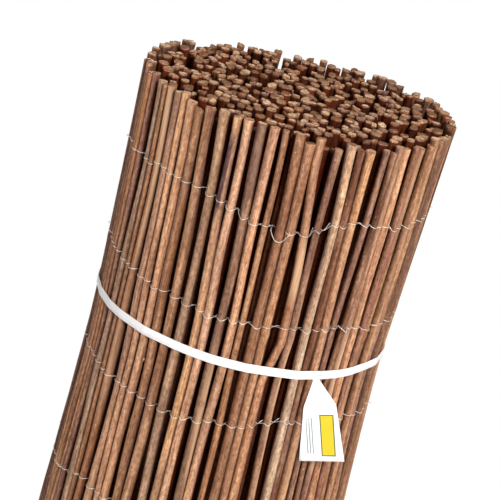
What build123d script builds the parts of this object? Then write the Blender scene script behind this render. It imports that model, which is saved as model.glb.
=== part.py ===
"""A willow screen rolled up for carrying: unpeeled rods side by side along a spiral, standing on their cut
ends, rows of twined wire that tie the rods into a mat, two flat straps round the roll and a hang tag."""

from build123d import *
import math
import os
import random
from dataclasses import dataclass

# The mat of rods, in millimetres
MAT_HEIGHT = 1000.0
MAT_LENGTH = 5000.0
ROD_THIN = 6.4
ROD_THICK = 10.9
ROD_GAP_LEAST = 0.3
OUTER_GAP_MOST = 3.6
INNER_GAP_MOST = 0.7
OUTER_PLAY = 0.25
TOP_UNEVENNESS = 18.0
FOOT_UNEVENNESS = 12.0
FEET_ON_FLOOR = 0.15
CORE_RADIUS = 11.0
TURN_CLEARANCE = 0.3
MAT_EDGE_ANGLE = 105.0
MAT_EDGE_LAP = 30.0
OUTER_ROD_SIDES = 6
INNER_ROD_SIDES = 5
ROD_SEED = 11

# The twined wire rows, each two strands high
WIRE_ROWS = 9
WIRE_MARGIN = 88.0
WIRE_DIAMETER = 0.8
WIRE_STRANDS = 2
WIRE_SEAT = 0.2
WIRE_END_GAP = 14.0

# The straight stretches of a wire or a strap round the roll, and how many of them, and which places
# along each, are looked at to find room for a weld or the tag
BAND_STRETCHES = 34
STRETCHES_TRIED = 3
PLACES_TRIED = (0.3, 0.4, 0.5, 0.6, 0.7)
CORNERS_APART = 0.05

# The two binding straps
STRAP_WIDTH = 9.0
STRAP_THICKNESS = 0.8
STRAP_FROM_END = 220.0
STRAP_SEAT = 0.3
STRAP_WELD_LENGTH = 24.0
STRAP_WELD_ANGLE = 45.0

# The hang tag, looped round the upper strap
TAG_THICKNESS = 0.4
TAG_WIDTH = 42.0
TAG_LENGTH = 80.0
TAG_SHOULDER_WIDTH = 34.0
TAG_SHOULDER_DROP = 23.0
TAG_NECK_WIDTH = 8.0
TAG_LOOP_CLEARANCE = 0.1
TAG_SKEW = 18.0
TAG_ANGLE = -54.0


@dataclass
class Rod:
    """One rod: the place of its axis, its polygon section and the heights of its two cut ends."""

    x: float
    y: float
    radius: float
    sides: int
    spin: float
    foot: float
    top: float

    def reach(self, direction):
        """How far the section reaches from the axis in a direction, in radians."""
        sector = 2 * math.pi / self.sides
        from_flat = (direction - self.spin) % sector - sector / 2
        return self.radius * math.cos(sector / 2) / math.cos(from_flat)

    def outermost(self):
        """The point of the rod that lies furthest from the middle of the roll."""
        share = 1 + self.radius / math.hypot(self.x, self.y)
        return (self.x * share, self.y * share)

    def solid(self):
        section = RegularPolygon(self.radius, self.sides, rotation=math.degrees(self.spin))
        return Pos(self.x, self.y, self.foot) * extrude(section, self.top - self.foot)


def corner_radius(diameter, sides):
    """The corner radius of a regular polygon with the area of a round rod."""
    return diameter * math.sqrt(math.pi / (2 * sides * math.sin(2 * math.pi / sides)))


QUARTER_TURN = math.pi / 2
SWEEP_ERROR = 1e-7
TURN_PITCH = 2 * corner_radius(ROD_THICK, INNER_ROD_SIDES) + TURN_CLEARANCE
ROLL_RADIUS = TURN_PITCH / 2 + math.sqrt(CORE_RADIUS**2 + MAT_LENGTH * TURN_PITCH / math.pi)


def place_rod(swept, inset, radius, sides, previous):
    """A rod on the spiral after a swept angle, with a corner to the outside or to the rod before it."""
    from_middle = ROLL_RADIUS - TURN_PITCH * (0.5 + swept / (2 * math.pi)) - inset
    angle = math.radians(MAT_EDGE_ANGLE) + swept
    x = from_middle * math.cos(angle)
    y = from_middle * math.sin(angle)
    spin = angle
    if previous and sides == INNER_ROD_SIDES:
        spin = math.atan2(previous.y - y, previous.x - x)
    return Rod(x, y, radius, sides, spin, 0.0, MAT_HEIGHT)


def space_between(rod, previous):
    """The space between the skins of two neighbours, along the line between their axes."""
    back = math.atan2(previous.y - rod.y, previous.x - rod.x)
    distance = math.hypot(previous.x - rod.x, previous.y - rod.y)
    return distance - rod.reach(back) - previous.reach(back + math.pi)


def lay_rods():
    """Rods laid one against the other, from the mat's outer edge inwards, until the mat is used up."""
    chance = random.Random(ROD_SEED)
    outer, inner = [], []
    previous = None
    swept, laid = 0.0, 0.0
    while laid < MAT_LENGTH:
        is_outer = swept < 2 * math.pi
        is_spread = swept < 2 * math.pi - math.radians(MAT_EDGE_LAP)
        sides = OUTER_ROD_SIDES if is_outer else INNER_ROD_SIDES
        radius = corner_radius(chance.uniform(ROD_THIN, ROD_THICK), sides)
        room = (TURN_PITCH - TURN_CLEARANCE) / 2 - radius
        inset = chance.uniform(-room, min(OUTER_PLAY - room, room) if is_outer else room)
        gap = chance.uniform(ROD_GAP_LEAST, OUTER_GAP_MOST if is_spread else INNER_GAP_MOST)
        low, high = swept, swept + QUARTER_TURN
        while previous and high - low > SWEEP_ERROR:
            middle = (low + high) / 2
            if space_between(place_rod(middle, inset, radius, sides, previous), previous) < gap:
                low = middle
            else:
                high = middle
        swept = high if previous else swept
        rod = place_rod(swept, inset, radius, sides, previous)
        rod.foot = FOOT_UNEVENNESS * max(chance.random() - FEET_ON_FLOOR, 0.0)
        rod.top = MAT_HEIGHT - TOP_UNEVENNESS * chance.random() ** 2
        laid += math.hypot(rod.x - previous.x, rod.y - previous.y) if previous else 2 * radius
        (outer if is_outer else inner).append(rod)
        previous = rod
    return outer, inner


def move_to_middle(rods, outline):
    """Brings the middle of the roll over the origin."""
    middle = outline.bounding_box().center()
    for rod in rods:
        rod.x -= middle.X
        rod.y -= middle.Y
    return Pos(-middle.X, -middle.Y) * outline


def outline_of(rods):
    """The outline of a band pulled tight round the rods, from the lines that bear on them in even directions."""
    step = 2 * math.pi / BAND_STRETCHES
    lines = []
    for number in range(BAND_STRETCHES):
        outward = Vector(1, 0).rotate(Axis.Z, math.degrees(number * step))
        bears_at = max((Vector(*rod.outermost()) for rod in rods), key=outward.dot)
        lines.append((outward, bears_at.dot(outward)))
    corners = []
    for (outward, away), (next_outward, next_away) in zip(lines, lines[1:] + lines[:1]):
        along = (next_away - away * math.cos(step)) / math.sin(step)
        corner = outward * away + Vector(0, 0, 1).cross(outward) * along
        if not corners or (corner - corners[-1]).length > CORNERS_APART:
            corners.append(corner)
    return make_face(Polyline(*corners, close=True))


def outward_from(edge):
    """The direction square to a stretch of the outline, away from the roll."""
    square = (edge % 0.5).cross(Vector(0, 0, 1))
    return square if square.dot(edge @ 0.5) > 0 else -square


def stretches_near(outline, angle):
    """The few stretches of the outline that lie nearest to an angle about the roll's axis, in degrees."""
    ray = Vector(1, 0).rotate(Axis.Z, angle)
    nearest_first = sorted(outline.edges(), key=lambda edge: (edge @ 0.5).get_angle(ray))
    return nearest_first[:STRETCHES_TRIED]


def hoop(outline, seat, thickness):
    """A ring that lies round an outline, a seat's clearance away from it."""
    outside = offset(outline, seat + thickness, kind=Kind.INTERSECTION)
    return outside - offset(outline, seat, kind=Kind.INTERSECTION)


def wire_rows(outline):
    """The rows' wires on the outer turn, each open beside the mat's edge, where it goes in under it."""
    gap = Rectangle(ROLL_RADIUS, WIRE_END_GAP, align=(Align.CENTER, Align.MAX))
    ring = hoop(outline, WIRE_SEAT, WIRE_DIAMETER) - Rot(0, 0, MAT_EDGE_ANGLE) * Pos(ROLL_RADIUS) * gap
    height = WIRE_STRANDS * WIRE_DIAMETER
    pitch = (MAT_HEIGHT - 2 * WIRE_MARGIN) / (WIRE_ROWS - 1)
    middles = [MAT_HEIGHT - WIRE_MARGIN - row * pitch for row in range(WIRE_ROWS)]
    return [Pos(0, 0, middle - height / 2) * extrude(ring, height) for middle in middles]


def strap(outline, middle):
    """A strap pulled tight round the roll, its two ends lapped and welded on the longest stretch behind."""
    band = extrude(hoop(outline, STRAP_SEAT, STRAP_THICKNESS), STRAP_WIDTH / 2, both=True)
    behind = stretches_near(outline, STRAP_WELD_ANGLE)
    edge = max(behind, key=lambda stretch: stretch.length)
    lap_middle = edge @ 0.5 + outward_from(edge) * (STRAP_SEAT + STRAP_THICKNESS + STRAP_THICKNESS / 2)
    lap_length = min(STRAP_WELD_LENGTH, edge.length)
    lap = Plane(lap_middle, x_dir=outward_from(edge)) * Box(STRAP_THICKNESS, lap_length, STRAP_WIDTH)
    return Pos(0, 0, middle) * (band + lap)


def hollow_behind(edge, place, rods):
    """The depth of the hollow under a place on a stretch of strap, as wide as the tag's neck."""
    depths = []
    for rod in rods:
        to_rod = Vector(rod.x, rod.y) - edge @ place
        past_neck = max(abs(to_rod.dot(edge % 0.5)) - TAG_NECK_WIDTH / 2, 0)
        corner_depth = -to_rod.dot(outward_from(edge)) - rod.radius
        depths.append(corner_depth + past_neck * math.tan(math.pi / rod.sides))
    return min(depths)


def hang_tag(outline, rods, middle):
    """A thin plate that widens downwards, its neck folded round the strap where that bridges a hollow."""
    places = [(edge, place) for edge in stretches_near(outline, TAG_ANGLE) for place in PLACES_TRIED]
    edge, place = max(places, key=lambda tried: hollow_behind(*tried, rods))
    outward = outward_from(edge)
    across = Vector(0, 0, 1).cross(outward)
    strap_middle = edge @ place + outward * (STRAP_SEAT + STRAP_THICKNESS / 2) + Vector(0, 0, middle)
    inside = Rectangle(STRAP_THICKNESS + 2 * TAG_LOOP_CLEARANCE, STRAP_WIDTH + 2 * TAG_LOOP_CLEARANCE)
    section = offset(inside, TAG_THICKNESS, kind=Kind.INTERSECTION) - inside
    loop = extrude(section, TAG_NECK_WIDTH / 2, both=True)
    shoulder = (TAG_SHOULDER_WIDTH / 2, -TAG_SHOULDER_DROP)
    right_side = [(TAG_NECK_WIDTH / 2, 0), shoulder, (TAG_WIDTH / 2, -TAG_LENGTH)]
    left_side = [(-x, y) for x, y in reversed(right_side)]
    plate = extrude(make_face(Polyline(*right_side, *left_side, close=True)), TAG_THICKNESS)
    below_strap = Pos(0, -STRAP_WIDTH / 2, STRAP_THICKNESS / 2 + TAG_LOOP_CLEARANCE) * Rot(0, 0, TAG_SKEW)
    hung = Plane(strap_middle, x_dir=across, z_dir=outward) * below_strap * plate
    return hung + Plane(strap_middle, x_dir=outward, z_dir=-across) * loop


outer_rods, inner_rods = lay_rods()
roll_outline = move_to_middle(outer_rods + inner_rods, outline_of(outer_rods))
upper_strap_middle = MAT_HEIGHT - STRAP_FROM_END
pieces = {
    "rods_outer_turn": Compound([rod.solid() for rod in outer_rods]),
    "rods_inner_turns": Compound([rod.solid() for rod in inner_rods]),
    "strap_upper": strap(roll_outline, upper_strap_middle),
    "strap_lower": strap(roll_outline, STRAP_FROM_END),
    "hang_tag": hang_tag(roll_outline, outer_rods, upper_strap_middle),
}
for number, wire in enumerate(wire_rows(roll_outline), start=1):
    pieces[f"wire_row_{number}"] = wire

os.makedirs("parts", exist_ok=True)
for name, piece in pieces.items():
    export_step(piece, f"parts/{name}.step")
print(f"{len(outer_rods)} rods in the outer turn, {len(inner_rods)} inside, roll radius {ROLL_RADIUS:.1f} mm")
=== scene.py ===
"""A willow screen rolled up for carrying: rods tied by twined wire, two straps and a hang tag."""

import random
from math import atan2, copysign, cos, degrees, exp, hypot, pi, radians, sin, sqrt

import bmesh
import bpy
import numpy as np
from mathutils import Matrix, Vector, geometry, noise


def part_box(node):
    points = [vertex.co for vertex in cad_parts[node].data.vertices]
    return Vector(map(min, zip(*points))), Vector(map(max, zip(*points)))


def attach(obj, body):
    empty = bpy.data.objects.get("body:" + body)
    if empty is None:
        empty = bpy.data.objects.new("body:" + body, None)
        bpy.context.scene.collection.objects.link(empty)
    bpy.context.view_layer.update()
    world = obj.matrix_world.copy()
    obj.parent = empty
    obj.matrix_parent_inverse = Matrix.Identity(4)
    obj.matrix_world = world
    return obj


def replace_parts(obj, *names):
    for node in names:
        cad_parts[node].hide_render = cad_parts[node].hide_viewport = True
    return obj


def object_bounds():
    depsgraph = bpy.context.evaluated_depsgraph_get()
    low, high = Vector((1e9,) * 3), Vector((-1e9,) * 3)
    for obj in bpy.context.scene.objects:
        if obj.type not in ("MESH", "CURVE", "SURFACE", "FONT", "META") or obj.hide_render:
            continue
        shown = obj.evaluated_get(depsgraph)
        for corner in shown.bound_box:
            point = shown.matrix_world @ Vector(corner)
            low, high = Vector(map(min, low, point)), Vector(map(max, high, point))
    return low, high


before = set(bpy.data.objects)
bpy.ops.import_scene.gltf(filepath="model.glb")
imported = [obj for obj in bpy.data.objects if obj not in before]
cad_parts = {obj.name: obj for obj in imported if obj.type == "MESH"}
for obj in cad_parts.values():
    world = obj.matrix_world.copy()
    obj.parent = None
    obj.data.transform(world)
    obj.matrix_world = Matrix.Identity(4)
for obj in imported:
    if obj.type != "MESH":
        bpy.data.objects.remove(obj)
cad_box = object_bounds()
bpy.context.scene.view_settings.view_transform = "Standard"


# The outer turn of rods: unpeeled willow shoots, cut to length with shears and laid side by side.
# Each stands where its solid stands. The two straps draw the roll in, so the rods bow out between them,
# and no shoot is straight: they lean the same way round the roll, wander and push each other aside.
MM = 0.001
UP = Vector((0, 0, 1))


def middle_height(node):
    """The height of the middle of a CAD node."""
    return sum(corner.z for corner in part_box(node)) / 2


MAT_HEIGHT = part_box("rods_outer_turn")[1].z
UPPER_STRAP = middle_height("strap_upper")
LOWER_STRAP = middle_height("strap_lower")
DRAWN_IN = 0.979
BOWED_OUT = 1.043
ROLL_TWIST = radians(7.0)
TOP_FLARE = 5 * MM
TOP_FLARE_SIDE = radians(5)
OUTER_TOPS_LEVELLED = 0.42
TOP_TILT = 8 * MM
TOP_TILT_SIDE = radians(25)
LEVEL_STEP = 17.5 * MM


def rods_in(node):
    """The rods of a CAD node: the middle, equal round radius, foot and top of each prism."""
    shape = bmesh.new()
    shape.from_mesh(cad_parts[node].data)
    bmesh.ops.remove_doubles(shape, verts=shape.verts, dist=1e-6)
    shape.verts.index_update()
    seen = set()
    rods = []
    for start in shape.verts:
        if start.index in seen:
            continue
        seen.add(start.index)
        island, front = [], [start]
        while front:
            corner = front.pop()
            island.append(corner.co.copy())
            for edge in corner.link_edges:
                other = edge.other_vert(corner)
                if other.index not in seen:
                    seen.add(other.index)
                    front.append(other)
        middle = sum(island, Vector()) / len(island)
        sides = len(island) // 2
        corner_radius = max(hypot(p.x - middle.x, p.y - middle.y) for p in island)
        round_share = sqrt(sides * sin(2 * pi / sides) / (2 * pi))
        rods.append({
            "angle": atan2(middle.y, middle.x),
            "reach": hypot(middle.x, middle.y),
            "radius": corner_radius * round_share,
            "foot": min(p.z for p in island),
            "top": max(p.z for p in island),
        })
    shape.free()
    return rods


def from_mat_edge(rods):
    """Puts the outer turn's rods in order, starting with the mat's free edge, where the turn steps in."""
    rods.sort(key=lambda rod: rod["angle"])
    step = [rods[i]["reach"] - rods[i - 1]["reach"] for i in range(len(rods))]
    first = step.index(max(step))
    ordered = rods[first:] + rods[:first]
    for rod in ordered:
        while rod["angle"] < ordered[0]["angle"] - 1e-6:
            rod["angle"] += 2 * pi
    return ordered


def bow(z):
    """How far the straps draw the roll in, or let it out, at a height, as a share of its CAD radius."""
    between = np.clip((z - LOWER_STRAP) / (UPPER_STRAP - LOWER_STRAP), 0, 1)
    past_strap = np.maximum(z - UPPER_STRAP, LOWER_STRAP - z).clip(0) / (MAT_HEIGHT - UPPER_STRAP)
    return DRAWN_IN + (BOWED_OUT - DRAWN_IN) * np.sin(pi * between) ** 2 + (1 - DRAWN_IN) * past_strap


def twist(height):
    """How far the rods have gone round the roll at a height, as it wasn't rolled up quite square."""
    return ROLL_TWIST * (0.5 - height / MAT_HEIGHT)


def flare(angle, height):
    """How far the rods spread at the top of the right side, where nothing holds them."""
    above_strap = np.clip((height - UPPER_STRAP) / (MAT_HEIGHT - UPPER_STRAP), 0, 1)
    return TOP_FLARE * max(cos(angle - TOP_FLARE_SIDE), 0) * above_strap


def settle_top(rod, levelled):
    """Makes a rod's top more level with the others, with the right of the mat pushed up a little."""
    share = rod["reach"] / (cad_box[1].x - cad_box[0].x) * 2
    pushed_up = TOP_TILT * max(cos(rod["angle"] - TOP_TILT_SIDE), 0) * share
    rod["top"] = MAT_HEIGHT - (MAT_HEIGHT - rod["top"]) * levelled + pushed_up


def drift(levels, seed, scale):
    """A smooth random line along the levels, about one to each side."""
    return np.array([noise.noise(Vector((seed * 7.31, seed * 1.7, z * scale))) for z in levels]) * 1.6


# The stems: each is a little thinner than its solid, tapers, swells and wanders. The levels at which it
# bends take in the elbow of one rod, a little right of the front and just above the upper strap.
STEM_THICKNESS = 0.885
LEAST_TAPER = 0.02
MOST_TAPER = 0.15
SWELLING = 0.07
SPREAD_SIDE = radians(-65)
SPREAD_THINNING = 0.03
IN_AND_OUT = 1.1 * MM
LONG_WANDER = 3.6 * MM
SHORT_WANDER = 1.7 * MM
LEAN = 2.4 * MM
SHARED_WANDER = 4 * MM
ELBOW_ANGLE = radians(-74)
ELBOW_SIZE = 11 * MM
ELBOW_HEIGHTS = [UPPER_STRAP - 0.012, UPPER_STRAP + 0.028, UPPER_STRAP + 0.19]
outer_rods = from_mat_edge(rods_in("rods_outer_turn"))
levels = np.unique(np.append(np.arange(0, MAT_HEIGHT + LEVEL_STEP, LEVEL_STEP), ELBOW_HEIGHTS))
below_middle = 0.5 - levels / MAT_HEIGHT
chance = random.Random(5)
for number, rod in enumerate(outer_rods):
    taper = chance.uniform(LEAST_TAPER, MOST_TAPER) * chance.choice((-1, 1, 1))
    swelling = SWELLING * drift(levels, number + 300, 9)
    settle_top(rod, OUTER_TOPS_LEVELLED)
    thinning = SPREAD_THINNING * max(cos(rod["angle"] - SPREAD_SIDE) * 2 - 1, 0)
    rod["radii"] = rod["radius"] * (STEM_THICKNESS - thinning + taper * below_middle + swelling)
    rod["reaches"] = rod["reach"] * bow(levels) + IN_AND_OUT * drift(levels, number + 500, 5)
    rod["reaches"] += flare(rod["angle"], levels)
    wander = LONG_WANDER * drift(levels, number + 700, 2.6) + SHORT_WANDER * drift(levels, number + 900, 8)
    wander += chance.gauss(0, LEAN) * below_middle * 2
    wander += SHARED_WANDER * drift(levels, rod["angle"] * 0.11, 1.7)
    rod["angles"] = rod["angle"] + twist(levels) + wander / rod["reach"]


def turn_between(a, b):
    """The smallest angle between two directions round the roll."""
    return abs((a - b + pi) % (2 * pi) - pi)


def rod_near(angle, height):
    """The rod of the outer turn that stands nearest to an angle at a height."""
    return min(outer_rods, key=lambda rod: turn_between(np.interp(height, levels, rod["angles"]), angle))


elbow_rod = rod_near(ELBOW_ANGLE, UPPER_STRAP)
elbow = np.interp(levels, ELBOW_HEIGHTS, [-0.4, 0.6, -0.3])
elbow_rod["angles"] += elbow * ELBOW_SIZE / elbow_rod["reach"]
elbow_rod["bark"] = (0.42, 0.205, 0.105, 1.0)
elbow_rod["bends"] = ELBOW_HEIGHTS
elbow_rod["bare_stretch"] = (UPPER_STRAP + 0.066, UPPER_STRAP + 0.134, radians(-55))

# One rod right of the elbow is thick and pale, one keeps its dark bark on one side near the top, and one
# is forked below the strap.
PALE_ANGLE = radians(-63)
SHED_ANGLE = radians(-107)
FORK_ANGLE = radians(-145)
FORK_HEIGHT = UPPER_STRAP - 0.066
FORK_LENGTH = 0.22
FORK_THICKNESS = 7 * MM
pale_rod = rod_near(PALE_ANGLE, UPPER_STRAP + 0.1)
pale_rod["bark"] = (0.43, 0.315, 0.222, 1.0)
pale_rod["radii"] = pale_rod["radii"] * 1.3
shed_rod = rod_near(SHED_ANGLE, MAT_HEIGHT - 0.05)
shed_rod["bark"] = (0.50, 0.285, 0.150, 1.0)
shed_rod["dark_stretch"] = (MAT_HEIGHT - 0.088, MAT_HEIGHT - 0.012, radians(-150))
forked_rod = rod_near(FORK_ANGLE, FORK_HEIGHT)
fork_levels = [FORK_HEIGHT - 0.06, FORK_HEIGHT, FORK_HEIGHT + 0.08, FORK_HEIGHT + 0.2]
forked_rod["radii"] = forked_rod["radii"] * np.interp(levels, fork_levels, [0.8, 1.3, 1.25, 1.0])

# Neighbours that would run into each other push each other aside, half each.
for _ in range(14):
    for rod, after in zip(outer_rods, outer_rods[1:]):
        room = (after["angles"] - rod["angles"]) * (rod["reaches"] + after["reaches"]) / 2
        push = np.maximum(rod["radii"] + after["radii"] - room, 0) / rod["reaches"] / 2
        rod["angles"] = rod["angles"] - push
        after["angles"] = after["angles"] + push


def rod_at(rod, height):
    """The middle of a rod of the outer turn at a height, and its radius there."""
    angle = np.interp(height, levels, rod["angles"])
    reach = np.interp(height, levels, rod["reaches"])
    radius = np.interp(height, levels, rod["radii"])
    return Vector((reach * cos(angle), reach * sin(angle), height)), radius


def turns_of(sides, spin=0.0):
    """The angles of the corners of a ring."""
    return [spin + 2 * pi * i / sides for i in range(sides)]


def towards(angle):
    """The level direction at an angle."""
    return Vector((cos(angle), sin(angle), 0))


def ways_at(point):
    """The directions out of the roll and onwards round it at a point."""
    outward = Vector((point.x, point.y, 0)).normalized()
    return outward, Vector((-outward.y, outward.x, 0))


def clamped(share):
    """A share kept between none and all."""
    return min(max(share, 0.0), 1.0)


def add_piece(name, corners, faces, materials):
    """A new smooth piece of the roll from its corners and faces."""
    mesh = bpy.data.meshes.new(name)
    mesh.from_pydata(corners, [], faces)
    for material in materials:
        mesh.materials.append(material)
    mesh.polygons.foreach_set("use_smooth", np.ones(len(faces), bool))
    mesh.update()
    piece = bpy.data.objects.new(name, mesh)
    bpy.context.scene.collection.objects.link(piece)
    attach(piece, "root")
    return piece


def keep_values(piece, label, values, kind="FLOAT"):
    """Keeps a value or a colour for each corner of a piece, for its material."""
    layer = piece.data.attributes.new(label, kind, "POINT")
    flat = np.array(values, np.float32).ravel()
    layer.data.foreach_set("color" if kind == "FLOAT_COLOR" else "value", flat)


# The bark of the shoots: most are red to grey brown, a few pale or nearly black, and every shoot has
# grey and ochre blotches. The sides that face the gaps are darkened with painted shade, kept in the colour's
# alpha.
BARK_COLOURS = [
    (0.41, 0.205, 0.106),
    (0.34, 0.145, 0.072),
    (0.25, 0.130, 0.088),
    (0.31, 0.146, 0.112),
    (0.43, 0.275, 0.180),
    (0.52, 0.288, 0.172),
    (0.18, 0.080, 0.050),
]
BARK_SHARES = [28, 24, 18, 12, 6, 16, 10]
DARK_BARK = (0.085, 0.046, 0.046)
GREY_BARK = (0.29, 0.163, 0.118)
OCHRE_BARK = (0.50, 0.285, 0.145)
# The share of its colour that painted shade leaves on a rod's sides that face the gaps.
SIDE_PAINTED_SHADE = 0.3


def bark_colour():
    """The colour of one rod: one of a few barks, a little lighter or darker and redder or greyer."""
    base = chance.choices(BARK_COLOURS, BARK_SHARES)[0]
    light = chance.uniform(0.58, 1.11)
    red = chance.uniform(0.93, 1.07)
    return (base[0] * light * red, base[1] * light, base[2] * light / red, 1.0)


def quads_between(below, above, sides):
    """The faces between two rings, each given by the number of its first corner."""
    after = [(i + 1) % sides for i in range(sides)]
    return [(below + i, below + j, above + j, above + i) for i, j in enumerate(after)]


class RodMesh:
    """Gathers the rings of many rods into one mesh with their colours, painted shade, scars and cut ends."""

    def __init__(self):
        self.points, self.faces, self.is_cut = [], [], []
        self.colours, self.scars, self.bare, self.pith, self.seeds = [], [], [], [], []

    def ring(self, points, colours, seed, pith=1.0, scars=None, bare=None):
        """Adds one ring of points and returns the number of its first point."""
        start = len(self.points)
        plain = [0.0] * len(points)
        self.points += points
        self.colours += colours
        self.seeds += [seed] * len(points)
        self.pith += [pith] * len(points)
        self.scars += scars or plain
        self.bare += bare or plain
        return start

    def skin(self, below, above, sides, is_cut=False):
        """Joins two rings with quads."""
        self.faces += quads_between(below, above, sides)
        self.is_cut += [is_cut] * sides

    def stem(self, foot_rim, top_rim, sides):
        """Joins all the rings of a stem, from its foot upwards."""
        for rim in range(foot_rim, top_rim, sides):
            self.skin(rim, rim + sides, sides)

    def fan(self, rim, tip, sides, upwards):
        """Closes a ring to one point."""
        for i in range(sides):
            j = (i + 1) % sides
            self.faces.append((rim + i, rim + j, tip) if upwards else (rim + j, rim + i, tip))
            self.is_cut.append(True)

    def make(self, name, materials):
        """The finished piece, with bark on the stems and bare wood on the cut ends."""
        piece = add_piece(name, self.points, self.faces, materials)
        piece.data.polygons.foreach_set("material_index", np.array(self.is_cut, np.int32))
        keep_values(piece, "rod_colour_and_shade", self.colours, "FLOAT_COLOR")
        keep_values(piece, "scar", self.scars)
        keep_values(piece, "bare", self.bare)
        keep_values(piece, "pith", self.pith)
        keep_values(piece, "seed", self.seeds)
        return piece


# The cut ends, as rings from the rim inwards: the share of the radius, the depth in millimetres and the
# place between the pith and the bark of each.
CUT_RINGS = ((1.0, 0.8, 1.0), (0.99, 0.2, 1.0), (0.94, 0.0, 0.97), (0.8, 0.15, 0.8), (0.4, 0.25, 0.4))
SLANTED_CUTS = 0.18
RIM_ROUGHNESS = 0.45
FACE_ROUGHNESS = 0.25
PITH_DEPTH = 0.35 * MM


def cut_slope():
    """How steeply the shears cut a rod: most ends are nearly square, a few are slanted."""
    if chance.random() < SLANTED_CUTS:
        return chance.uniform(0.2, 0.5)
    return abs(chance.gauss(0, 0.12))


def below_cut(rod, slope):
    """How far from a rod's end its stem stops, so that the slanted cut lies beyond it."""
    return 1.6 * MM + 2 * slope * rod["radius"]


def cut_end(gather, rim_points, axis_point, colour, seed, upwards, slope):
    """Closes a rod with the face that the shears left: a burred rim, a rough slope and the pith."""
    sides = len(rim_points)
    sign = 1 if upwards else -1
    high_side = chance.uniform(0, 2 * pi)
    lean = towards(high_side) * slope
    last = None
    reach = max((p - axis_point).length for p in rim_points)
    for share, drop, pith in CUT_RINGS:
        points = []
        for p in rim_points:
            spoke = (p - axis_point) * share
            rough = chance.gauss(0, RIM_ROUGHNESS if share > 0.5 else FACE_ROUGHNESS)
            sink = (drop + rough) * MM + reach * slope - spoke.dot(lean)
            points.append(axis_point + spoke - UP * (sign * max(sink, 0)))
        start = gather.ring(points, [colour] * sides, seed, pith)
        if last is not None:
            lower, upper = (last, start) if upwards else (start, last)
            gather.skin(lower, upper, sides, is_cut=pith < 1.0)
        else:
            first = start
        last = start
    middle = axis_point - UP * (sign * (PITH_DEPTH + reach * slope))
    tip = gather.ring([middle], [colour], seed, 0.0)
    gather.fan(last, tip, sides, upwards)
    return first


def cut_both_ends(gather, sides, ends, colour, seed):
    """Closes a rod's top and foot, given the last ring, axis point, direction and slope of each."""
    for rim, axis_point, upwards, slope in ends:
        rim_points = [Vector((*gather.points[rim + i].xy, axis_point.z)) for i in range(sides)]
        first = cut_end(gather, rim_points, axis_point, colour, seed, upwards, slope)
        lower, upper = (rim, first) if upwards else (first, rim)
        gather.skin(lower, upper, sides)


def on_stretch(stretch, height, turn):
    """One on a marked stretch of a rod, on the side that it faces, fading out at its edges."""
    if stretch is None:
        return 0.0
    low, high, side = stretch
    inside = min(height - low, high - height) / (6 * MM)
    return clamped(inside) * clamped(cos(turn - side) * 2.4 - 0.2)


# A stub's rings, each with its share of the length and of the radius and its place between pith and bark.
STUB_SIDES = 6
STUB_RINGS = ((0.0, 1.25, 1.0), (1.0, 1.0, 1.0), (1.02, 0.85, 0.8))


def stub(gather, start, direction, length, radius, colour, seed):
    """What the knife left of a side shoot: a short peg with a pale cut face."""
    across = direction.orthogonal().normalized()
    other = direction.cross(across)
    last = None
    for share, size, pith in STUB_RINGS:
        points = []
        for turn in turns_of(STUB_SIDES):
            spoke = across * cos(turn) + other * sin(turn)
            points.append(start + direction * length * share + spoke * radius * size)
        ring = gather.ring(points, [colour] * STUB_SIDES, seed, pith)
        if last is not None:
            gather.skin(last, ring, STUB_SIDES, is_cut=pith < 1.0)
        last = ring
    tip = gather.ring([start + direction * length], [colour], seed, 0.3)
    gather.fan(last, tip, STUB_SIDES, True)


BRANCH_SIDES = 8
BRANCH_RINGS = 9


def branch(gather, rod, colour, seed):
    """The second arm of the forked rod, which runs down beside the first and gets thinner."""
    last = None
    for share in np.linspace(0, 1, BRANCH_RINGS):
        middle, radius = rod_at(rod, FORK_HEIGHT + 0.01 - FORK_LENGTH * share)
        outward, onward = ways_at(middle)
        size = FORK_THICKNESS / 2 * (1 - 0.25 * share)
        parted = min(share * 2.2, 1.0)
        middle += onward * (radius + size) * parted + outward * (radius * 0.75 * parted)
        points = [middle + towards(turn) * size for turn in turns_of(BRANCH_SIDES)]
        ring = gather.ring(points, [colour] * BRANCH_SIDES, seed)
        if last is not None:
            gather.skin(ring, last, BRANCH_SIDES)
        last = ring
    first = cut_end(gather, points, middle, colour, seed, False, 0.2)
    gather.skin(first, last, BRANCH_SIDES)


# The knots, where side shoots were trimmed off: their rise and spread are in millimetres.
KNOTS_A_ROD = 4
BIG_KNOTS = 0.25
BIG_KNOT = {"rise": (0.7, 1.5), "spread": (5, 8)}
SMALL_KNOT = {"rise": (0.15, 0.45), "spread": (3, 5)}
KNOT_LEVELS = (-1.5, -0.7, 0, 0.7, 1.5)
STUBS_ON_KNOTS = 0.6


def knots_on(rod):
    """The knots of one rod, from its foot upwards."""
    knots = []
    height = rod["foot"] + chance.uniform(0.05, 0.2)
    while len(knots) < KNOTS_A_ROD and height < rod["top"] - 0.03:
        size = BIG_KNOT if chance.random() < BIG_KNOTS else SMALL_KNOT
        knots.append({
            "height": height,
            "side": chance.uniform(0, 2 * pi),
            "rise": chance.uniform(*size["rise"]),
            "spread": chance.uniform(*size["spread"]),
        })
        height += chance.uniform(0.08, 0.3)
    return knots


def knotted(knots, height, turn):
    """How far knots swell a stem at a place, and how near it is to the middle of a scar."""
    swelling, scar = 0.0, 0.0
    for knot in knots:
        off = (height - knot["height"]) / (knot["spread"] * MM)
        if abs(off) < 2:
            fading = exp(-off * off * 1.6)
            near = fading * max(cos(turn - knot["side"]), 0) ** 2
            swelling += knot["rise"] * MM * (near + fading * 0.25)
            scar = max(scar, near)
    return swelling, scar


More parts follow.
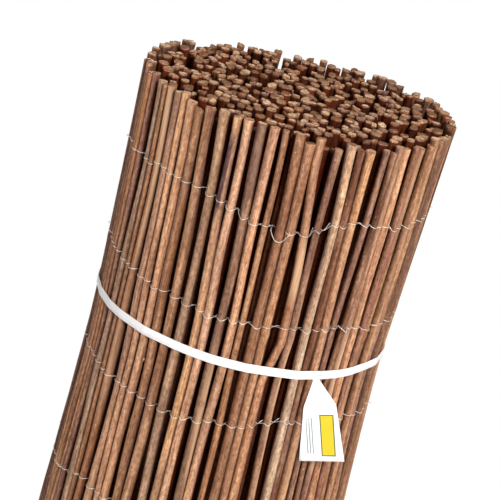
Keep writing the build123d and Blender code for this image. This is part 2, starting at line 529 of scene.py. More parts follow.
def blotched(colour, seed, height, turn):
    """The colour of the bark at a place on a rod, with its grey and ochre blotches."""
    lightness = min(max(sum(colour[:3]) / 0.72, 0.4), 1.15)
    blotch = noise.noise(Vector((cos(turn) * 0.8 + seed * 3, sin(turn) * 0.8, height * 4.5)))
    other = GREY_BARK if blotch > 0 else OCHRE_BARK
    cover = min(abs(blotch) * 1.5, 0.65)
    return [c + (d * lightness - c) * cover for c, d in zip(colour, other)]


def ribbed(seed, height, turn, scale):
    """How far a stem's ribs stand out at a place, from about minus one to one."""
    return noise.noise(Vector((cos(turn) * 1.3 + seed, sin(turn) * 1.3, height * scale)))


OUTER_SIDES = 12
PEELED_RODS = 0.3
OUTER_RIBS = 0.09
MOST_OVAL = 0.06
MOST_SPLAY = 0.17
SPLAY_LENGTH = 6 * MM


def outer_rod(gather, rod):
    """One rod of the outer turn: its bent and swollen stem, with knots where side shoots were trimmed."""
    colour = bark_colour()
    seed = chance.uniform(0, 50)
    spin = chance.uniform(0, 2 * pi)
    oval = chance.uniform(0.0, MOST_OVAL)
    oval_side = chance.uniform(0, pi)
    splayed = chance.uniform(0.0, MOST_SPLAY)
    colour = rod.get("bark", colour)
    knots = knots_on(rod)
    foot_slope, top_slope = cut_slope() * 0.5, cut_slope()
    lowest = rod["foot"] + below_cut(rod, foot_slope)
    highest = rod["top"] - below_cut(rod, top_slope)
    heights = list(np.arange(lowest + LEVEL_STEP, highest - LEVEL_STEP / 4, LEVEL_STEP))
    heights += rod.get("bends", []) + [highest - 0.011, highest - 0.004]
    for knot in knots:
        heights += [knot["height"] + share * knot["spread"] * MM for share in KNOT_LEVELS]
    heights = [lowest] + sorted(h for h in heights if lowest + 0.001 < h < highest - 0.001) + [highest]
    peel_side = chance.uniform(0, 2 * pi)
    peeled = chance.random() < PEELED_RODS
    foot_rim = len(gather.points)
    for height in heights:
        middle, radius = rod_at(rod, height)
        points, colours, scars, bare = [], [], [], []
        outward = atan2(middle.y, middle.x)
        splay = splayed * exp((height - highest) / SPLAY_LENGTH)
        for turn in turns_of(OUTER_SIDES, spin):
            ribs = OUTER_RIBS * ribbed(seed, height, turn, 20)
            swelling, scar = knotted(knots, height, turn)
            grown = radius * (1 + oval * cos(2 * (turn - oval_side)) + ribs + splay) + swelling
            points.append(middle + towards(turn) * grown)
            scars.append(scar)
            peel = noise.noise(Vector((seed, cos(turn - peel_side), height * 6))) if peeled else -1.0
            shed = peel * 2.2 + max(cos(turn - peel_side), 0) - 1.0
            bare.append(clamped(max(shed, on_stretch(rod.get("bare_stretch"), height, turn))))
            dark = on_stretch(rod.get("dark_stretch"), height, turn)
            rgb = [c + (d - c) * dark for c, d in zip(blotched(colour, seed, height, turn), DARK_BARK)]
            # Painted shade: the alpha falls from one where the bark faces out of the roll to a fixed share
            # on the sides that face the gaps.
            faced = clamped((cos(turn - outward) - 0.02) / 0.9)
            colours.append((*rgb, SIDE_PAINTED_SHADE + (1 - SIDE_PAINTED_SHADE) * faced))
        top_rim = gather.ring(points, colours, seed, 1.0, scars, bare)
    gather.stem(foot_rim, top_rim, OUTER_SIDES)
    for knot in knots:
        if knot["rise"] > 0.7 and chance.random() < STUBS_ON_KNOTS:
            middle, radius = rod_at(rod, knot["height"])
            tilt = chance.choice((-1, 1)) * 0.9
            away = (towards(knot["side"]) + UP * tilt).normalized()
            length = radius * 1.25 + chance.uniform(0.8, 3.0) * MM
            stub(gather, middle, away, length, chance.uniform(1.0, 1.7) * MM, colour, seed)
    if rod is forked_rod:
        branch(gather, rod, colour, seed)
    top_end = (top_rim, rod_at(rod, rod["top"])[0], True, top_slope)
    foot_end = (foot_rim, rod_at(rod, rod["foot"])[0], False, foot_slope)
    cut_both_ends(gather, OUTER_SIDES, (top_end, foot_end), colour, seed)


class Nodes:
    """A short way to write shader nodes: each call makes one node and links what it is given."""

    def __init__(self, tree):
        self.tree = tree

    def add(self, kind, inputs=None, **settings):
        node = self.tree.nodes.new("ShaderNode" + kind)
        for name, value in settings.items():
            setattr(node, name, value)
        for name, value in (inputs or {}).items():
            self.feed(value, node, name)
        return node

    def feed(self, value, node, name):
        if isinstance(value, bpy.types.NodeSocket):
            self.tree.links.new(value, node.inputs[name])
        else:
            node.inputs[name].default_value = value

    def maths(self, operation, a, b=0.0):
        return self.add("Math", {0: a, 1: b}, operation=operation).outputs[0]

    def times(self, a, b):
        return self.maths("MULTIPLY", a, b)

    def mix(self, share, a, b, blend="MIX"):
        node = self.add("Mix", {0: share, 6: a, 7: b}, data_type="RGBA", blend_type=blend)
        return node.outputs[2]

    def ramp(self, value, low, high):
        return self.add("MapRange", {0: value, 1: low, 2: high, 3: 0.0, 4: 1.0}).outputs[0]

    def between(self, value, low, high):
        return self.add("MapRange", {0: value, 3: low, 4: high}).outputs[0]

    def cover(self, under, value, reach, most, over):
        return self.mix(self.times(self.ramp(value, *reach), most), under, over)

    def shift(self, seed):
        return self.add("CombineXYZ", {0: seed, 1: seed, 2: seed}).outputs[0]

    def attribute(self, name, output="Fac"):
        return self.add("Attribute", attribute_name=name).outputs[output]

    def place(self, scale, shift=None):
        place = self.add("TexCoord").outputs["Object"]
        scaled = self.add("VectorMath", {0: place, 1: scale}, operation="MULTIPLY").outputs[0]
        if shift is None:
            return scaled
        return self.add("VectorMath", {0: scaled, 1: shift}, operation="ADD").outputs[0]

    def noise(self, place, detail=3.0, roughness=0.55):
        sockets = {"Vector": place, "Scale": 1.0, "Detail": detail, "Roughness": roughness}
        return self.add("TexNoise", sockets).outputs["Fac"]


def bare_material(name):
    """A new material with only its Principled shader and output."""
    material = bpy.data.materials.new(name)
    material.use_nodes = True
    return material, Nodes(material.node_tree), material.node_tree.nodes["Principled BSDF"]


def bump(n, shader, height, distance, strength):
    """Feeds a height to the shader's normal."""
    sockets = {"Height": height, "Distance": distance, "Strength": strength}
    n.feed(n.add("Bump", sockets).outputs[0], shader, "Normal")


# The bark's material: the shoot's own colour with pale and dark lines of fibre, then grey patches, a pale
# skin, red brown stains, flecks and lenticels. Bare stretches show the wood, and scars are dark with a pale
# middle. Last, painted shade from the colour's alpha darkens the sides that face the gaps and the inner
# turns' stems, and painted light brightens the faces turned out of the roll a little.
bark, n, shader = bare_material("willow_bark")
shift = n.shift(n.attribute("seed"))
fibres = n.noise(n.place((620, 620, 16), shift), 4.0, 0.6)
fine_fibres = n.noise(n.place((1900, 1900, 120), shift), 3.0, 0.6)
patches = n.noise(n.place((90, 90, 7), shift), 3.0, 0.6)
film = n.noise(n.place((150, 150, 15), shift), 2.0, 0.5)
shade = n.ramp(fibres, 0.3, 0.7)
tone = n.mix(shade, (0.62, 0.52, 0.41, 1), (1.38, 1.39, 1.42, 1))
colour = n.mix(1.0, n.attribute("rod_colour_and_shade", "Color"), tone, "MULTIPLY")
colour = n.cover(colour, patches, (0.50, 0.66), 0.7, (0.245, 0.132, 0.088, 1))
colour = n.cover(colour, film, (0.52, 0.70), 0.55, (0.54, 0.305, 0.175, 1))
colour = n.cover(colour, patches, (0.45, 0.30), 0.55, (0.135, 0.045, 0.018, 1))
flecks = n.noise(n.place((430, 430, 210), shift), 4.0, 0.7)
fleck_tone = n.mix(n.ramp(flecks, 0.34, 0.66), (0.62, 0.55, 0.49, 1), (1.34, 1.37, 1.39, 1))
colour = n.mix(1.0, colour, fleck_tone, "MULTIPLY")
cells = {"Vector": n.place((210, 210, 130), shift), "Scale": 1.0}
dots = n.add("TexVoronoi", cells).outputs["Distance"]
dot = n.times(n.ramp(dots, 0.15, 0.09), n.ramp(film, 0.42, 0.60))
colour = n.mix(n.times(dot, 0.55), colour, (0.72, 0.48, 0.31, 1))
bare_wood = n.mix(shade, (0.42, 0.235, 0.125, 1), (0.62, 0.390, 0.235, 1))
colour = n.mix(n.attribute("bare"), colour, bare_wood)
scar = n.attribute("scar")
colour = n.cover(colour, scar, (0.25, 0.75), 0.45, (0.11, 0.045, 0.024, 1))
colour = n.cover(colour, scar, (0.86, 0.98), 0.8, (0.55, 0.35, 0.21, 1))
# Painted shade and light: the alpha runs from a near black red brown, the colour of shade in the gaps, to a
# little brighter than the bark.
painted_shade = n.mix(n.attribute("rod_colour_and_shade", "Alpha"), (0.160, 0.040, 0.004, 1), (1.09, 1.09, 1.10, 1))
colour = n.mix(1.0, colour, painted_shade, "MULTIPLY")
n.feed(colour, shader, "Base Color")
n.feed(n.between(shade, 0.58, 0.78), shader, "Roughness")
relief = n.times(shade, 0.5)
for height, share in ((fine_fibres, 0.5), (dot, 0.6), (flecks, 0.9)):
    relief = n.maths("ADD", relief, n.times(height, share))
bump(n, shader, relief, 0.0006, 0.6)
n.feed(0.05, shader, "Specular IOR Level")

# The cut ends' material: pale wood with grain and year rings round a dark pith, weathered on many rods.
cut_wood, n, shader = bare_material("cut_willow")
pith = n.attribute("pith")
grain = n.noise(n.place((620, 620, 620)), 3.0, 0.65)
rings = n.maths("SINE", n.times(pith, 19.0))
wood = n.mix(n.ramp(grain, 0.34, 0.64), (0.45, 0.215, 0.085, 1), (1.05, 0.745, 0.495, 1))
wood = n.cover(wood, rings, (-0.2, 1.0), 0.28, (0.36, 0.215, 0.125, 1))
aged = n.noise(n.place((70, 70, 20)), 2.0, 0.5)
wood = n.cover(wood, aged, (0.50, 0.70), 0.5, (0.30, 0.15, 0.08, 1))
own_tone = n.maths("FRACT", n.times(n.attribute("seed"), 7.31))
wood = n.cover(wood, own_tone, (0.84, 0.10), 0.92, (0.17, 0.066, 0.022, 1))
wood = n.mix(n.ramp(pith, 0.16, 0.08), wood, (0.16, 0.085, 0.05, 1))
wood = n.mix(n.ramp(pith, 0.86, 0.96), wood, (0.17, 0.075, 0.04, 1))
n.feed(wood, shader, "Base Color")
n.feed(0.8, shader, "Roughness")
n.feed(0.06, shader, "Specular IOR Level")
bump(n, shader, n.maths("ADD", grain, n.times(rings, 0.25)), 0.0006, 0.7)

gather = RodMesh()
for rod in outer_rods:
    outer_rod(gather, rod)
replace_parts(gather.make("outer_rods", [bark, cut_wood]), "rods_outer_turn")


# The rods of the inner turns: the same shoots, rolled up with the mat and held together by its outer turn.
# Only their cut ends and what shows between the outer rods can be seen, so their stems have fewer rings.
INNER_SIDES = 10
INNER_DRAWN_IN = 2.5 * MM
INNER_TOPS_LEVELLED = 0.28
TOPS_SUNK = 0.2
TOP_SUNK_BY = 16 * MM
TIP_SCATTER = 2.2 * MM
CORE_RADIUS = 55 * MM
# Painted shade on the inner turns' stems: the share of their colour that it leaves at depths below the top,
# nearly none a few centimetres down and a little more further down.
BELOW_TOP = (0.0, 0.008, 0.03, 0.09)
PAINTED_SHADE_BELOW_TOP = (0.08, 0.015, 0.0)
MOST_UNSHADED_SHARE_BELOW = 0.21
INNER_STEM = 0.96
INNER_RIBS = 0.16
inner_rods = sorted(rods_in("rods_inner_turns"), key=lambda rod: rod["reach"])
roll_reach = max(rod["reach"] for rod in outer_rods)


def inner_middle(rod, height):
    """Where the middle of an inner rod stands at a height, before its ends lean aside."""
    share = rod["reach"] / roll_reach
    angle = rod["angle"] + twist(height) * share
    let_out = 1 + (bow(height) - 1) * share
    drawn_in = INNER_DRAWN_IN * share**2 * np.interp(rod["top"] - height, (0, 0.1), (0.4, 1))
    reach = rod["reach"] * let_out - drawn_in + flare(angle, height) * share
    return Vector((reach * cos(angle), reach * sin(angle), height))


for rod in inner_rods:
    settle_top(rod, INNER_TOPS_LEVELLED)
    if chance.random() < TOPS_SUNK:
        rod["top"] -= TOP_SUNK_BY * chance.random()

# No end stands just where the roll would have it: those near the middle lean into it, and all are scattered,
# then pushed apart where they overlap.
straight = np.array([inner_middle(rod, rod["top"]).xy for rod in inner_rods])
slumped = np.interp(np.linalg.norm(straight, axis=1), (0, CORE_RADIUS), (0.5, 1))
tips = straight * slumped[:, None] + TIP_SCATTER * np.random.default_rng(8).normal(size=straight.shape)
outer_tips = np.array([rod_at(rod, rod["top"])[0].xy for rod in outer_rods])
sizes = np.array([rod["radius"] for rod in inner_rods] + [rod["radii"][-1] for rod in outer_rods])
for _ in range(40):
    apart = tips[:, None] - np.vstack([tips, outer_tips])[None]
    distance = np.linalg.norm(apart, axis=2)
    np.fill_diagonal(distance, np.inf)
    overlap = np.maximum(sizes[:len(tips), None] + sizes[None] - distance, 0)
    tips = tips + 0.4 * (apart * (overlap / distance)[..., None]).sum(axis=1)

gather = RodMesh()
for rod, lean in zip(inner_rods, tips - straight):
    colour = bark_colour()
    seed = chance.uniform(0, 50)
    spin = chance.uniform(0, 2 * pi)
    unshaded_share_below = chance.uniform(0.02, MOST_UNSHADED_SHARE_BELOW)
    foot_slope, top_slope = cut_slope() * 0.5, cut_slope()
    heights = [rod["foot"] + below_cut(rod, foot_slope), rod["foot"] + 0.03]
    heights += list(np.linspace(0.1, 0.9, 6) * MAT_HEIGHT)
    heights += [rod["top"] - 0.05, rod["top"] - 0.025, rod["top"] - below_cut(rod, top_slope)]
    foot_rim = len(gather.points)
    middles = []
    for height in heights:
        from_middle = abs(height / MAT_HEIGHT - 0.5) * 2
        middle = inner_middle(rod, height) + Vector((*lean, 0)) * from_middle**3
        middles.append(middle)
        points = []
        for turn in turns_of(INNER_SIDES, spin):
            grown = rod["radius"] * (INNER_STEM + INNER_RIBS * ribbed(seed, height, turn, 14))
            points.append(middle + towards(turn) * grown)
        # Painted shade: the alpha darkens the inner stems, which stand in the shade of the outer turn.
        painted_shade = np.interp(rod["top"] - height, BELOW_TOP, (*PAINTED_SHADE_BELOW_TOP, unshaded_share_below))
        top_rim = gather.ring(points, [(*colour[:3], painted_shade)] * INNER_SIDES, seed)
    gather.stem(foot_rim, top_rim, INNER_SIDES)
    top_end = (top_rim, Vector((*middles[-1].xy, rod["top"])), True, top_slope)
    foot_end = (foot_rim, Vector((*middles[0].xy, rod["foot"])), False, foot_slope)
    cut_both_ends(gather, INNER_SIDES, (top_end, foot_end), colour, seed)
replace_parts(gather.make("inner_rods", [bark, cut_wood]), "rods_inner_turns")


# The wire rows: two strands of soft galvanised wire twined through the mat, one in front of a rod and one
# behind it, crossing in each gap. They hang a little slack, with their ends twisted together at the mat's
# edge. ROW_SHIFTS and ROW_SAGS give in millimetres how far a row lies from level, by degrees round the roll.
WIRE_RADIUS = 0.3 * MM
WIRE_SIDES = 6
LOOSE_LOOP_ANGLE = radians(-84)
LOOSE_LOOP_DROP = 10 * MM
LOOSE_LOOP_WIDTH = 17 * MM
LOOSE_LOOP_SHARES = (-1, -0.8, -0.5, -0.2, 0.2, 0.5, 0.8, 1)
STRAND_SHAPE = ((-58, 0.25), (0, 1.0), (58, 0.25))
ROW_SHIFTS = [10, 14, 16, 3, -5, 6, -3, 5, -4]
ROW_SAGS = [
    (
        (-155, 3), (-122, 5), (-104, 0), (-91, -8), (-80, -10),
        (-71, -11), (-65, 2), (-55, 6), (-37, 0), (-17, 2),
    ),
    ((-156, 8), (-101, -3), (-87, -2), (-66, 1), (-51, 4), (-24, 0)),
    ((-153, 1), (-119, -3), (-105, -7), (-90, -2), (-76, 2), (-62, 12), (-24, 6)),
    ((-162, -12), (-140, 5), (-127, 3)),
]
STRAND_CLEARANCE = WIRE_RADIUS * 1.1
CROSSING_LIFT = WIRE_RADIUS * 1.15
LEFT_SLACK = 0.35
MOST_SWAY = 2.5
PROUD_STRANDS = 0.12
TWIST_LENGTH = 16 * MM
TWIST_TURNS = 4
TWIST_POINTS = 33
TWIST_FROM_ROD = 1.2 * MM


def tube(points, radius, sides):
    """The points and faces of a round wire along a line of points, closed at both ends."""
    corners, faces = [], []
    across = (points[1] - points[0]).orthogonal().normalized()
    for i, point in enumerate(points):
        along = (points[min(i + 1, len(points) - 1)] - points[max(i - 1, 0)]).normalized()
        across = (across - along * across.dot(along)).normalized()
        other = along.cross(across)
        for turn in turns_of(sides):
            corners.append(point + (across * cos(turn) + other * sin(turn)) * radius)
    for i in range(len(points) - 1):
        faces += quads_between(i * sides, (i + 1) * sides, sides)
    faces.append(tuple(reversed(range(sides))))
    faces.append(tuple(range(len(corners) - sides, len(corners))))
    return corners, faces


def smooth_line(points, steps):
    """Points along a smooth curve through the given ones."""
    line = []
    for i in range(len(points) - 1):
        before, after = points[max(i - 1, 0)], points[min(i + 2, len(points) - 1)]
        start, end = points[i], points[i + 1]
        for k in range(steps):
            t = k / steps
            line.append(0.5 * (
                2 * start + (end - before) * t
                + (2 * before - 5 * start + 4 * end - after) * t * t
                + (3 * start - before - 3 * end + after) * t**3
            ))
    return line + [points[-1]]


def twined_strands(height, row):
    """The two strands of a row, each as points over and under the rods."""
    strands = ([], [])
    slack_shares = [LEFT_SLACK if cos(rod["angle"]) < -0.25 else 1.0 for rod in outer_rods]
    slack = [chance.uniform(-0.4, 2.6) * share for share in slack_shares]
    hang = [chance.gauss(0, 1.0) for _ in outer_rods]
    gap_depth = [chance.uniform(0.3, 1.2) * (1.4 - share) for share in slack_shares]
    proud = [chance.uniform(1, 4) if chance.random() < PROUD_STRANDS else 0.0 for _ in outer_rods]
    for i, rod in enumerate(outer_rods):
        sway = MOST_SWAY * noise.noise(Vector((rod["angle"] * 1.3, row * 5.3, 0)))
        if row < len(ROW_SAGS):
            round_by = (degrees(rod["angle"]) + 180) % 360 - 180
            sway += np.interp(round_by, *zip(*ROW_SAGS[row]))
        row_height = height + (sway + hang[i]) * MM
        middle, radius = rod_at(rod, row_height)
        outward, onward = ways_at(middle)
        is_loose = row == 0 and turn_between(atan2(middle.y, middle.x), LOOSE_LOOP_ANGLE) < 0.03
        for strand, points in enumerate(strands):
            in_front = (i + strand) % 2 == 0
            facing = outward if in_front else -outward
            clear = radius + STRAND_CLEARANCE
            drop = slack[i] * MM * (1 if in_front else -0.6)
            if is_loose and in_front:
                before = middle + outward * (clear + 1.5 * MM)
                for share in LOOSE_LOOP_SHARES:
                    sideways = onward * (share * LOOSE_LOOP_WIDTH / 2)
                    points.append(before + sideways - UP * (LOOSE_LOOP_DROP * (1 - share * share)))
                continue
            for turn_degrees, drop_share in STRAND_SHAPE:
                turn = radians(turn_degrees)
                away = clear + (proud[i] * MM if in_front and turn_degrees == 0 else 0.0)
                point = middle + (facing * cos(turn) + onward * sin(turn)) * away
                points.append(point - UP * (drop * drop_share))
            if i + 1 < len(outer_rods):
                next_middle, next_radius = rod_at(outer_rods[i + 1], row_height)
                gap_way = (next_middle - middle).normalized()
                gap = (middle + gap_way * radius + next_middle - gap_way * next_radius) / 2
                lift = CROSSING_LIFT * (1 if in_front else -1) + 0.5 * MM
                points.append(gap - outward * radius * gap_depth[i] + UP * lift)
    first, first_radius = rod_at(outer_rods[0], height)
    outward, onward = ways_at(first)
    start = first - onward * (first_radius + TWIST_FROM_ROD) + outward * first_radius * 0.4
    for strand, points in enumerate(strands):
        twisted = []
        for share in np.linspace(1, 0, TWIST_POINTS):
            turn = 2 * pi * TWIST_TURNS * share + strand * pi
            spoke = (outward * sin(turn) - onward * cos(turn)) * STRAND_CLEARANCE
            twisted.append(start - UP * (TWIST_LENGTH * share) + spoke)
        points[:0] = twisted
    return strands


galvanised, n, shader = bare_material("galvanised_wire")
spangle = n.noise(n.place((900, 900, 900)), 2.0, 0.5)
zinc = n.mix(n.ramp(spangle, 0.35, 0.65), (0.56, 0.50, 0.43, 1), (0.86, 0.80, 0.72, 1))
n.feed(zinc, shader, "Base Color")
n.feed(n.between(spangle, 0.3, 0.6), shader, "Roughness")
n.feed(0.75, shader, "Metallic")

row_nodes = sorted(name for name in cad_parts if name.startswith("wire_row_"))
for row, node in enumerate(row_nodes):
    height = middle_height(node) + ROW_SHIFTS[row] * MM
    corners, faces = [], []
    for strand in twined_strands(height, row):
        strand_corners, strand_faces = tube(smooth_line(strand, 3), WIRE_RADIUS, WIRE_SIDES)
        faces += [tuple(len(corners) + k for k in face) for face in strand_faces]
        corners += strand_corners
    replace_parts(add_piece(f"{node}_strands", corners, faces, [galvanised]), node)


# The straps: flat white plastic bands, pulled tight round the roll with their ends lapped and welded behind.
# A strap bridges the hollows between rods that stand proud, and its surface is finely embossed.
STRAP_WIDTH = 8.3 * MM
STRAP_THICKNESS = 0.8 * MM
STRAP_CLEARANCE = 0.25 * MM
STRAP_ROUNDING = 0.25 * MM
STRAP_POINT_STEP = 2.5 * MM
STRAP_LIFT = 0.6 * MM
SKIN_POINTS = 24
WELD_LENGTH = 24 * MM
WELD_ANGLE = radians(45)


def tight_loop(height):
    """Evenly spaced points, and the outward direction at each, of a band pulled tight round the rods."""
    skins = []
    for rod in outer_rods:
        middle, radius = rod_at(rod, height)
        away = radius + STRAP_CLEARANCE + STRAP_THICKNESS / 2
        skins += [middle.xy + towards(turn).xy * away for turn in turns_of(SKIN_POINTS)]
    hull = [skins[k] for k in geometry.convex_hull_2d(skins)]
    if sum(a.x * b.y - b.x * a.y for a, b in zip(hull, hull[1:] + hull[:1])) < 0:
        hull.reverse()
    loop = []
    for a, b in zip(hull, hull[1:] + hull[:1]):
        count = max(1, round((b - a).length / STRAP_POINT_STEP))
        loop += [a.lerp(b, k / count) for k in range(count)]
    outward = []
    for k in range(len(loop)):
        along = (loop[(k + 1) % len(loop)] - loop[k - 1]).normalized()
        outward.append(Vector((along.y, -along.x)))
    return loop, outward


def nearest_on(loop, angle):
    """The number of the point of a loop that lies nearest to an angle round the roll."""
    return min(range(len(loop)), key=lambda k: turn_between(atan2(loop[k].y, loop[k].x), angle))


def strap_section():
    """A strap's section as pairs of outward and upward distances, with rounded edges."""
    w, t, edge = STRAP_WIDTH / 2, STRAP_THICKNESS / 2, STRAP_ROUNDING
    right = [(t, -w + edge), (t, w - edge), (t - edge, w), (-t + edge, w)]
    return right + [(-x, -z) for x, z in right]


def band(loop, outward, height, closed):
    """The corners, faces and lengthwise place of a strap along a loop."""
    corners, faces, along = [], [], []
    section = strap_section()
    size = len(section)
    travelled = 0.0
    for k, (point, out) in enumerate(zip(loop, outward)):
        if k:
            travelled += (point - loop[k - 1]).length
        for x, z in section:
            corners.append(Vector((point.x + out.x * x, point.y + out.y * x, height + z)))
            along.append(travelled)
    for k in range(len(loop) if closed else len(loop) - 1):
        start, after = k * size, (k + 1) % len(loop) * size
        faces += quads_between(after, start, size)
    if not closed:
        faces.append(tuple(range(size)))
        faces.append(tuple(reversed(range(len(corners) - size, len(corners)))))
    return corners, faces, along


strap_white, n, shader = bare_material("white_strap")
along_strap = n.attribute("along")
up = n.add("SeparateXYZ", {0: n.add("TexCoord").outputs["Object"]}).outputs["Z"]
one_way = n.maths("SINE", n.times(n.maths("ADD", along_strap, up), 3600.0))
other_way = n.maths("SINE", n.times(n.maths("SUBTRACT", along_strap, up), 3600.0))
emboss = n.times(one_way, other_way)
scuffs = n.noise(n.place((40, 40, 300)), 4.0, 0.65)
white = n.mix(n.ramp(scuffs, 0.42, 0.75), (0.90, 0.865, 0.855, 1), (0.83, 0.79, 0.78, 1))
n.feed(white, shader, "Base Color")
n.feed(n.between(scuffs, 0.32, 0.52), shader, "Roughness")
bump(n, shader, emboss, 0.00006, 0.6)

for node, height in (("strap_upper", UPPER_STRAP + STRAP_LIFT), ("strap_lower", LOWER_STRAP)):
    loop, outward = tight_loop(height)
    corners, faces, travelled = band(loop, outward, height, closed=True)
    strap = add_piece(f"{node}_band", corners, faces, [strap_white])
    keep_values(strap, "along", travelled)
    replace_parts(strap, node)
    weld = nearest_on(loop, WELD_ANGLE)
    reach = round(WELD_LENGTH / STRAP_POINT_STEP / 2)
    lap = [(weld + k) % len(loop) for k in range(-reach, reach + 1)]
    lap_loop = [loop[k] + outward[k] * STRAP_THICKNESS * 0.95 for k in lap]
    corners, faces, travelled = band(lap_loop, [outward[k] for k in lap], height, closed=False)
    lap_end = add_piece(f"{node}_welded_end", corners, faces, [strap_white])
    keep_values(lap_end, "along", travelled)
    if node == "strap_upper":
        upper_loop, upper_outward = loop, outward


# The hang tag: a plate of white film, cut to a pointed top and printed with plain fields. Its neck is folded
# round the upper strap, and the plate swings free below it, turned a little towards the front.
TAG_THICKNESS = 0.4 * MM
TAG_WIDTH = 42 * MM
TAG_LENGTH = 78.5 * MM
TAG_SHOULDER = 23 * MM
TAG_SHOULDER_WIDTH = 33 * MM
TAG_NECK = 7 * MM
TAG_ANGLE = radians(-54.8)
TAG_LEAN = radians(18)
TAG_FACING = radians(-97)
TAG_CLEARANCE = 1.0 * MM
TAG_ROWS = 28
TAG_COLUMNS = 12
tag_place = nearest_on(upper_loop, TAG_ANGLE)
tag_out = upper_outward[tag_place].to_3d()
fold_out = STRAP_THICKNESS / 2 + TAG_THICKNESS
fold_up = STRAP_WIDTH / 2 + TAG_THICKNESS
strap_middle = Vector((*upper_loop[tag_place], UPPER_STRAP))
tag_root = strap_middle + tag_out * fold_out
tag_across = UP.cross(tag_out)
front_across = Vector((-sin(TAG_FACING), cos(TAG_FACING), 0))


def tag_half_width(down):
    """Half the width of the plate at a distance below its neck."""
    widths = [TAG_NECK, TAG_SHOULDER_WIDTH, TAG_WIDTH]
    return np.interp(down, [0, TAG_SHOULDER, TAG_LENGTH], widths) / 2


def hanging_point(across, down):
    """A point of the hanging plate, which leans aside, faces the front and bends where it meets the rods."""
    right = across * cos(TAG_LEAN) + down * sin(TAG_LEAN)
    up = across * sin(TAG_LEAN) - down * cos(TAG_LEAN)
    point = tag_root + front_across * right + UP * (up - STRAP_WIDTH / 2)
    least = tag_root.xy.length * bow(point.z) / DRAWN_IN + TAG_CLEARANCE
    if point.xy.length < least:
        point.xy = point.xy.normalized() * least
    return point


def tag_point(share, down):
    """A point of the film at a share of its half width: straight to the shoulder, then the hanging plate."""
    if down >= TAG_SHOULDER:
        return hanging_point(share * tag_half_width(down), down)
    neck_point = tag_root + tag_across * share * TAG_NECK / 2 - UP * (STRAP_WIDTH / 2)
    return neck_point.lerp(hanging_point(share * TAG_SHOULDER_WIDTH / 2, TAG_SHOULDER), down / TAG_SHOULDER)


corners, faces, across_values, down_values = [], [], [], []
for k in range(TAG_ROWS + 1):
    down = TAG_LENGTH * k / TAG_ROWS
    for column in range(TAG_COLUMNS + 1):
        share = 2 * column / TAG_COLUMNS - 1
        corners.append(tag_point(share, down))
        across_values.append(tag_half_width(down) * share)
        down_values.append(down)
for k in range(TAG_ROWS):
    for column in range(TAG_COLUMNS):
        a = k * (TAG_COLUMNS + 1) + column
        faces.append((a, a + TAG_COLUMNS + 1, a + TAG_COLUMNS + 2, a + 1))

tag_film, n, shader = bare_material("tag_film")
film_grain = n.noise(n.place((700, 700, 700)), 2.0, 0.5)
across_tag, down_tag = n.attribute("across"), n.attribute("down")


def stripe(value, low, high):
    """One inside a stripe of the print and zero outside it."""
    return n.times(n.maths("GREATER_THAN", value, low), n.maths("LESS_THAN", value, high))


paper = n.mix(n.ramp(film_grain, 0.3, 0.7), (0.87, 0.875, 0.88, 1), (0.91, 0.915, 0.92, 1))
edge = n.times(stripe(across_tag, 0.0005, 0.0135), stripe(down_tag, 0.033, 0.0735))
field = n.times(stripe(across_tag, 0.0015, 0.0125), stripe(down_tag, 0.034, 0.0725))
printed = n.mix(edge, paper, (0.035, 0.09, 0.03, 1))
printed = n.mix(field, printed, (0.74, 0.53, 0.012, 1))
line_rows = n.maths("GREATER_THAN", n.maths("SINE", n.times(across_tag, 2500.0)), 0.2)
lines_place = n.times(stripe(across_tag, -0.0125, -0.0055), stripe(down_tag, 0.036, 0.071))
printed = n.mix(n.times(line_rows, lines_place), printed, (0.30, 0.31, 0.33, 1))
n.feed(printed, shader, "Base Color")
n.feed(0.34, shader, "Roughness")
bump(n, shader, film_grain, 0.00005, 0.4)


def give_thickness(piece):
    """Makes a sheet as thick as the tag's film."""
    thick = piece.modifiers.new("film_thickness", "SOLIDIFY")
    thick.thickness = TAG_THICKNESS
    thick.offset = 0


tag = add_piece("hang_tag_plate", corners, faces, [tag_film])
keep_values(tag, "across", across_values)
keep_values(tag, "down", down_values)
give_thickness(tag)
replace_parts(tag, "hang_tag")

corners = []
for turn_degrees in range(0, 361, 15):
    turn = radians(turn_degrees)
    flat = abs(cos(turn)) ** 0.35 * copysign(1, cos(turn))
    tall = abs(sin(turn)) ** 0.35 * copysign(1, sin(turn))
    fold = strap_middle + tag_out * (fold_out * flat) + UP * (fold_up * tall)
    corners += [fold + tag_across * side * TAG_NECK / 2 for side in (-1, 1)]
faces = [(k, k + 1, k + 3, k + 2) for k in range(0, len(corners) - 2, 2)]
give_thickness(add_piece("hang_tag_neck", corners, faces, [tag_film]))


# The stage: a plain white floor and soft studio light from the front, a little stronger from the right.
FLOOR_SIZE = 60.0


def shows_stage(n):
    """One for the rays that show the stage itself: from the camera, mirrored or through something clear."""
    rays = n.add("LightPath").outputs
    not_direct = n.maths("MAXIMUM", rays["Is Glossy Ray"], rays["Is Transmission Ray"])
    return n.maths("MAXIMUM", rays["Is Camera Ray"], not_direct)


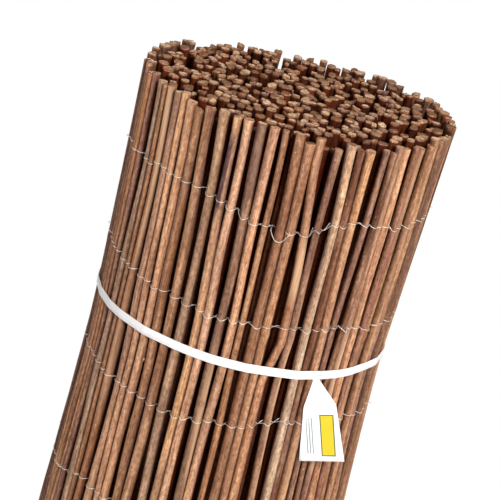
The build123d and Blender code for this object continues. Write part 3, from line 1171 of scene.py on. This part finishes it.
bpy.ops.mesh.primitive_plane_add(size=FLOOR_SIZE)
floor = bpy.context.object
floor.name = "floor"
white_floor, n, shader = bare_material("white_floor")
n.feed((0.92, 0.92, 0.92, 1), shader, "Base Color")
n.feed(0.9, shader, "Roughness")
glow = n.add("Emission", {"Color": (1, 1, 1, 1), "Strength": 1.0}).outputs[0]
floor_place = n.add("TexCoord").outputs["Object"]
from_roll = n.add("VectorMath", {0: floor_place}, operation="LENGTH").outputs["Value"]
glow_share = n.times(shows_stage(n), n.between(n.ramp(from_roll, 0.35, 0.95), 0.82, 1.0))
blend = n.add("MixShader", {0: glow_share, 1: shader.outputs[0], 2: glow})
n.feed(blend.outputs[0], n.tree.nodes["Material Output"], "Surface")
floor.data.materials.append(white_floor)

world = bpy.data.worlds.new("studio")
bpy.context.scene.world = world
world.use_nodes = True
n = Nodes(world.node_tree)
background = world.node_tree.nodes["Background"]
n.feed(n.between(shows_stage(n), 0.10, 1.0), background, "Strength")
n.feed((1, 1, 1, 1), background, "Color")


LAMP_AIM = Vector((0, 0, 0.7))


def soft_box(name, place, size, power):
    """A square studio lamp aimed at the roll."""
    lamp = bpy.data.lights.new(name, "AREA")
    lamp.shape = "SQUARE"
    lamp.size = size
    lamp.energy = power
    piece = bpy.data.objects.new(name, lamp)
    piece.location = place
    piece.rotation_mode = "QUATERNION"
    piece.rotation_quaternion = (LAMP_AIM - Vector(place)).to_track_quat("-Z", "Y")
    bpy.context.scene.collection.objects.link(piece)


soft_box("key_lamp", (0.65, -2.1, 2.1), 0.6, 68)
soft_box("left_lamp", (-2.1, -1.0, 1.5), 0.7, 11)
soft_box("right_lamp", (2.0, -1.2, 1.5), 0.7, 14)
soft_box("back_lamp", (0.3, 2.2, 2.0), 1.4, 34)

# The camera looks down on the front of the roll's upper half, tilted as the picture was taken.
PICTURE_WIDTH = 500
FOCAL_PIXELS = 1700
CAMERA_PLACE = (0.0, -1.5156, UPPER_STRAP + 0.5979)
CAMERA_YAW = -0.004
CAMERA_PITCH = 0.342
CAMERA_ROLL = 0.252
lens = bpy.data.cameras.new("camera")
lens.sensor_width = 36
lens.lens = FOCAL_PIXELS * lens.sensor_width / PICTURE_WIDTH
lens.clip_end = 200
camera = bpy.data.objects.new("camera", lens)
aim = Matrix.Rotation(-CAMERA_YAW, 4, "Z") @ Matrix.Rotation(pi / 2 - CAMERA_PITCH, 4, "X")
camera.matrix_world = Matrix.Translation(CAMERA_PLACE) @ aim @ Matrix.Rotation(CAMERA_ROLL, 4, "Z")
bpy.context.scene.collection.objects.link(camera)
bpy.context.scene.camera = camera
